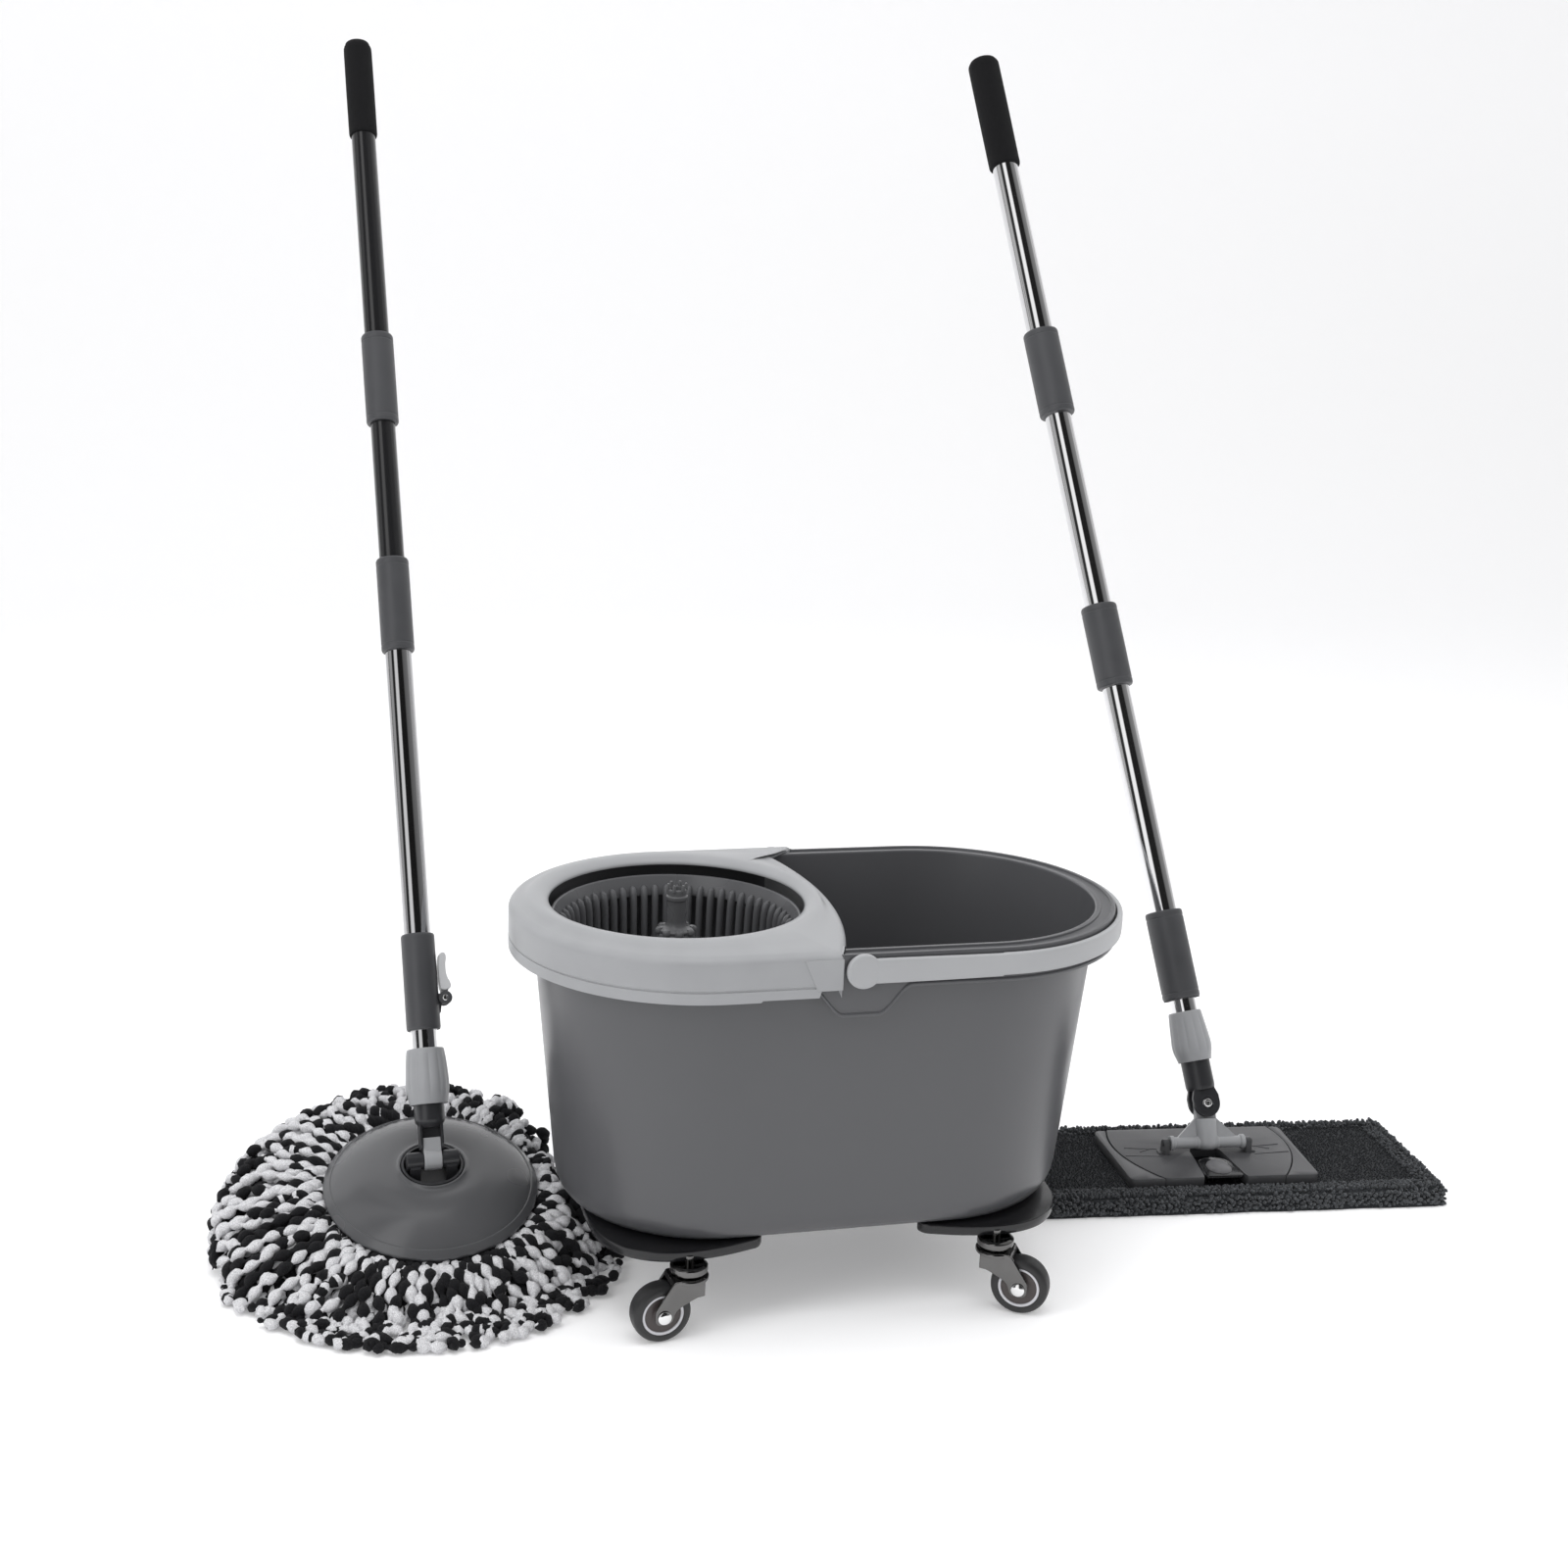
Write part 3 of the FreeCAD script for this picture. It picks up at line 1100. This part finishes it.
def spin_handle():
    """Telescopic handle: lock sleeve with its lever, three tubes, two sleeves and a grip."""
    joint_a = (S.sleeve_a_low + S.sleeve_a_high) / 2
    joint_b = (S.sleeve_b_low + S.sleeve_b_high) / 2
    top = S.grip_high - S.grip_wall
    tube("spin_lower_tube", "SpinLowerTube", S.lower_tube_radius, S.tube_wall, S.lock_low, joint_a,
         HANDLE)
    tube("spin_middle_tube", "SpinMiddleTube", S.upper_tube_radius, S.tube_wall, joint_a, joint_b,
         HANDLE)
    tube("spin_upper_tube", "SpinUpperTube", S.upper_tube_radius, S.tube_wall, joint_b, top, HANDLE)
    lower = turned("SleeveLowerTurned", [
        (S.lower_tube_radius, S.sleeve_a_low), (S.sleeve_radius, S.sleeve_a_low),
        (S.sleeve_radius, S.sleeve_a_high), (S.upper_tube_radius, S.sleeve_a_high),
        (S.upper_tube_radius, joint_a), (S.lower_tube_radius, joint_a)])
    piece("spin_sleeve_lower", lower, HANDLE)
    sleeve("spin_sleeve_upper", "SleeveUpper", S.sleeve_radius, S.upper_tube_radius,
           S.sleeve_b_low, S.sleeve_b_high, HANDLE)
    grip("spin_grip", "SpinGrip", S.grip_radius, S.upper_tube_radius, S.grip_low, S.grip_high, HANDLE)

    body = turned("LockTurned", [
        (S.lower_tube_radius, S.lock_low),
        (S.lock_radius - S.lever_pin / 2, S.lock_low),
        (S.lock_radius, S.lock_low + S.lever_pin),
        (S.lock_radius, S.lock_high - S.lever_pin),
        (S.lock_radius - S.lever_pin / 2, S.lock_high),
        (S.lower_tube_radius, S.lock_high),
    ])
    out, up = S.lever_pivot_out, S.lever_pivot_up
    boss_out = out - S.lower_tube_radius
    boss_half = S.lever_eye - S.lever_gap * 2
    boss = block("LeverBoss", boss_out, S.lever_boss, boss_half * 2,
                 S.lower_tube_radius + boss_out / 2, 0, up - boss_half)
    nose = cross_pin("LeverBossNose", boss_half, S.lever_boss, out, 0, up)
    hole = cross_pin("LeverBossHole", S.lever_pin + S.running_gap, S.lever_width * 2, out, 0, up)
    keep = cylinder("LockBore", S.lower_tube_radius, S.lock_high, at(z=ZERO))
    piece("lock_sleeve", cut("LockSleeve", fuse("LockBody", body, boss, nose), hole, keep), HANDLE)

    near = S.lock_radius + S.lever_gap
    eye = cross_pin("LeverEye", S.lever_eye, S.lever_width, out, 0, up)
    arm = pad_outline("LeverArm", "XZ_Plane", [
        (near + S.lever_gap, up),
        (out + S.lever_eye, up),
        (out + S.lever_eye, up + S.lever_eye),
        (near + S.lever_thick, up + S.lever_length - S.lever_thick),
        (near + S.lever_thick * 1.6, up + S.lever_length),
        (near + S.lever_thick * 0.8, up + S.lever_length),
        (near, up + S.lever_length - S.lever_thick * 1.5),
        (near, up + S.lever_eye * 1.5),
    ], S.lever_width, bows={2: S.lever_thick / 4})
    slot_width = S.lever_boss + S.lever_gap * 2
    slot = cross_pin("LeverSlot", S.lever_eye + S.lever_gap, slot_width, out, 0, up)
    slot_block = block("LeverSlotBlock", S.lever_eye * 4, slot_width, S.lever_eye * 3,
                       near - S.lever_eye, 0, up - S.lever_eye * 2)
    sleeve_room = cylinder("SleeveRoom", near, S.lock_high, at(z=ZERO))
    pin_hole = cross_pin("LeverPinHole", S.lever_pin, S.lever_width * 2, out, 0, up)
    piece("lock_lever", cut("LockLever", fuse("LeverBody", eye, arm), slot, slot_block, sleeve_room,
                            pin_hole), HANDLE)
    pin_full = S.lever_width + S.lever_pin
    piece("lever_pin", cross_pin("LeverPin", S.lever_pin, pin_full, out, 0, up), HANDLE)


# ---------------------------------------------------------------- flat mop
def flat_head():
    """Microfibre pad, frame plate with its lugs and foot button, and the yoke."""
    pad = new_body("FlatPad")
    half_x, half_y = S.pad_length / 2, S.pad_width / 2
    corners = [(-half_x, -half_y), (half_x, -half_y), (half_x, half_y), (-half_x, half_y)]
    padded(pad, outline(pad, "XY_Plane", corners), S.pad_thick)
    round_edges(pad, S.pad_round, upright)
    piece("flat_pad", pad, FLAT)

    base = new_body("FramePlate")
    half_x, half_y = S.frame_length / 2, S.frame_width / 2
    corners = [(-half_x, -half_y), (half_x, -half_y), (half_x, half_y), (-half_x, half_y)]
    padded(base, outline(base, "XY_Plane", corners, lift=S.pad_thick), S.frame_thick)
    round_edges(base, S.frame_round, upright)
    top = S.pad_thick + S.frame_thick
    lugs = []
    for side in (-1, 1):
        middle = ((S.yoke_length + S.lug_thick) / 2 + S.lug_gap) * side
        lugs.append(cross_pin("LugRound", S.lug_radius, S.lug_thick, middle, 0, S.yoke_height, X_AXIS))
        lugs.append(block("LugPost", S.lug_thick, S.lug_radius * 2, S.yoke_height - S.pad_thick,
                          middle, 0, S.pad_thick))
    slot_y = S.treadle_slot_reach / 2 - half_y
    floor = S.pad_thick + S.treadle_slot_floor
    slot = block("TreadleSlot", S.treadle_slot_width, S.treadle_slot_reach, S.frame_thick,
                 0, slot_y, floor)
    bore = cross_pin("LugBore", S.yoke_pin, S.yoke_length * 2, 0, 0, S.yoke_height, X_AXIS)
    guide_hole = cylinder("GuideHole", S.button_guide + S.running_gap, S.frame_thick,
                          at(0, S.button_y, S.pad_thick))
    plate = cut("FlatFrame", fuse("FrameWithLugs", base, *lugs), slot, bore, guide_hole)
    piece("flat_frame", plate, FLAT)

    seat = floor + S.button_travel + S.button_rise
    cap = stadium("ButtonCap", S.button_length, S.button_width, seat, top + S.button_proud - seat)
    cap.Placement = at(0, S.button_y, 0)
    guide = cylinder("ButtonGuide", S.button_guide, S.treadle_slot_floor,
                     at(0, S.button_y, seat - S.treadle_slot_floor))
    piece("foot_button", fuse("FootButton", cap, guide), FLAT)

    pin = S.yoke_length + (S.lug_gap + S.lug_thick) * 2 + S.lug_gap * 2
    piece("yoke_axle", cross_pin("YokeAxle", S.yoke_pin, pin, 0, 0, 0, X_AXIS), YOKE)

    barrel = cross_pin("YokeBarrel", S.yoke_radius, S.yoke_length, 0, 0, 0, X_AXIS)
    stem = cylinder("YokeStem", S.stem_radius, S.stem_high, at(z=ZERO))
    tongue = block("YokeTongue", S.stem_radius * 2, S.tilt_tongue, S.tilt_height - S.stem_high / 2,
                   0, 0, S.stem_high / 2)
    tip = cross_pin("YokeTip", S.stem_radius, S.tilt_tongue, 0, 0, S.tilt_height)
    gusset = pad_outline("YokeGusset", "XZ_Plane", [
        (-S.gusset_out, ZERO),
        (S.gusset_out, ZERO),
        (S.gusset_out, S.yoke_radius / 2),
        (S.stem_radius, S.stem_high),
        (-S.stem_radius, S.stem_high),
        (-S.gusset_out, S.yoke_radius / 2),
    ], S.gusset_thick)
    bore = cross_pin("YokeBore", S.yoke_pin + S.running_gap, S.yoke_length * 2, 0, 0, 0, X_AXIS)
    hole = cross_pin("TiltHole", S.tilt_pin + S.running_gap, S.tilt_tongue * 3, 0, 0, S.tilt_height)
    yoke = cut("Yoke", fuse("YokeBody", barrel, stem, tongue, tip, gusset), bore, hole)
    piece("yoke", yoke, YOKE)


def flat_handle():
    """Clevis socket on the yoke, screw collar, tubes, three sleeves and a grip."""
    span = S.tilt_tongue + S.tilt_gap * 2 + S.cheek_thick * 2
    cheeks = cross_pin("Cheeks", S.cheek_radius, span, 0, 0, 0)
    neck = block("CheekNeck", S.cheek_radius * 2, span, S.flat_socket_low, 0, 0, ZERO)
    rest = cylinder("SocketRound", S.flat_socket_radius, S.flat_spigot_high - S.flat_socket_low,
                    at(z=S.flat_socket_low))
    slot = block("CheekSlot", S.cheek_radius * 4, S.tilt_tongue + S.tilt_gap * 2,
                 S.cheek_radius + S.flat_socket_low, 0, 0, -S.cheek_radius)
    hole = cross_pin("CheekHole", S.tilt_pin, span * 2, 0, 0, 0)
    socket = cut("FlatSocket", fuse("FlatSocketBody", cheeks, neck, rest), slot, hole)
    piece("flat_socket", socket, FLAT_HANDLE)

    shank = cross_pin("TiltShank", S.tilt_pin, span, 0, 0, 0)
    heads = [cross_pin("TiltHead", S.tilt_pin_head, S.tilt_pin_head_thick, 0,
                       (span + S.tilt_pin_head_thick) / 2 * side, 0) for side in (-1, 1)]
    piece("tilt_screw", fuse("TiltScrew", shank, *heads), FLAT_HANDLE)

    stub = S.flat_stub_radius
    piece("flat_collar", turned("FlatCollar", [
        (S.flat_socket_radius, S.flat_collar_low),
        (S.flat_collar_low_radius, S.flat_collar_low),
        (S.flat_collar_wide_radius, S.flat_collar_wide),
        (S.flat_collar_high_radius, S.flat_collar_high),
        (stub, S.flat_collar_high),
        (stub, S.flat_spigot_high),
        (S.flat_socket_radius, S.flat_spigot_high),
    ], bows={1: S.running_gap * 10, 2: S.running_gap * 20}), FLAT_HANDLE)

    joint_a = (S.flat_sleeve_a_low + S.flat_sleeve_a_high) / 2
    joint_b = (S.flat_sleeve_b_low + S.flat_sleeve_b_high) / 2
    joint_c = (S.flat_sleeve_c_low + S.flat_sleeve_c_high) / 2
    top = S.flat_grip_high - S.grip_wall
    wall, radius = S.tube_wall, S.flat_tube_radius
    tube("flat_stub_tube", "FlatStubTube", stub, wall, S.flat_spigot_high, joint_a, FLAT_HANDLE)
    tube("flat_lower_tube", "FlatLowerTube", radius, wall, joint_a, joint_b, FLAT_HANDLE)
    tube("flat_middle_tube", "FlatMiddleTube", radius, wall, joint_b, joint_c, FLAT_HANDLE)
    tube("flat_upper_tube", "FlatUpperTube", radius, wall, joint_c, top, FLAT_HANDLE)
    low = turned("FlatSleeveA", [
        (stub, S.flat_sleeve_a_low), (S.flat_sleeve_radius, S.flat_sleeve_a_low),
        (S.flat_sleeve_radius, S.flat_sleeve_a_high), (radius, S.flat_sleeve_a_high),
        (radius, joint_a), (stub, joint_a)])
    piece("flat_sleeve_lower", low, FLAT_HANDLE)
    sleeve("flat_sleeve_middle", "FlatSleeveB", S.flat_sleeve_radius, radius,
           S.flat_sleeve_b_low, S.flat_sleeve_b_high, FLAT_HANDLE)
    sleeve("flat_sleeve_upper", "FlatSleeveC", S.flat_sleeve_radius, radius,
           S.flat_sleeve_c_low, S.flat_sleeve_c_high, FLAT_HANDLE)
    grip("flat_grip", "FlatGrip", S.flat_grip_radius, radius, S.flat_grip_low, S.flat_grip_high,
         FLAT_HANDLE)


bucket_shell()
splash_cover()
carry_handle()
wringer()
caster_plates()
for name, (side, half, swivel) in CASTERS.items():
    caster(name, side, half, swivel)
spin_head()
knuckle()
spin_socket()
drive_parts()
spin_handle()
flat_head()
flat_handle()

# ---------------------------------------------------------------- check and write
doc.recompute()
faults = [thing.Name for thing in doc.Objects if {"Invalid", "Error"} & set(thing.State)]
if faults:
    raise RuntimeError("failed objects: " + ", ".join(faults))
for label, thing in pieces.items():
    shape = thing.Shape
    if shape.isNull() or not shape.isValid() or not shape.Solids:
        raise RuntimeError(f"{label} has no valid solid")

os.makedirs("parts", exist_ok=True)
whole = FreeCAD.BoundBox()
for label, thing in pieces.items():
    thing.Shape.exportStep(f"parts/{label}.step")
    whole.add(thing.Shape.BoundBox)
print(len(pieces), "pieces, centre", round(whole.Center.x, 2), round(whole.Center.y, 2),
      "low", round(whole.ZMin, 3), "size", round(whole.XLength, 1), round(whole.YLength, 1),
      round(whole.ZLength, 1))
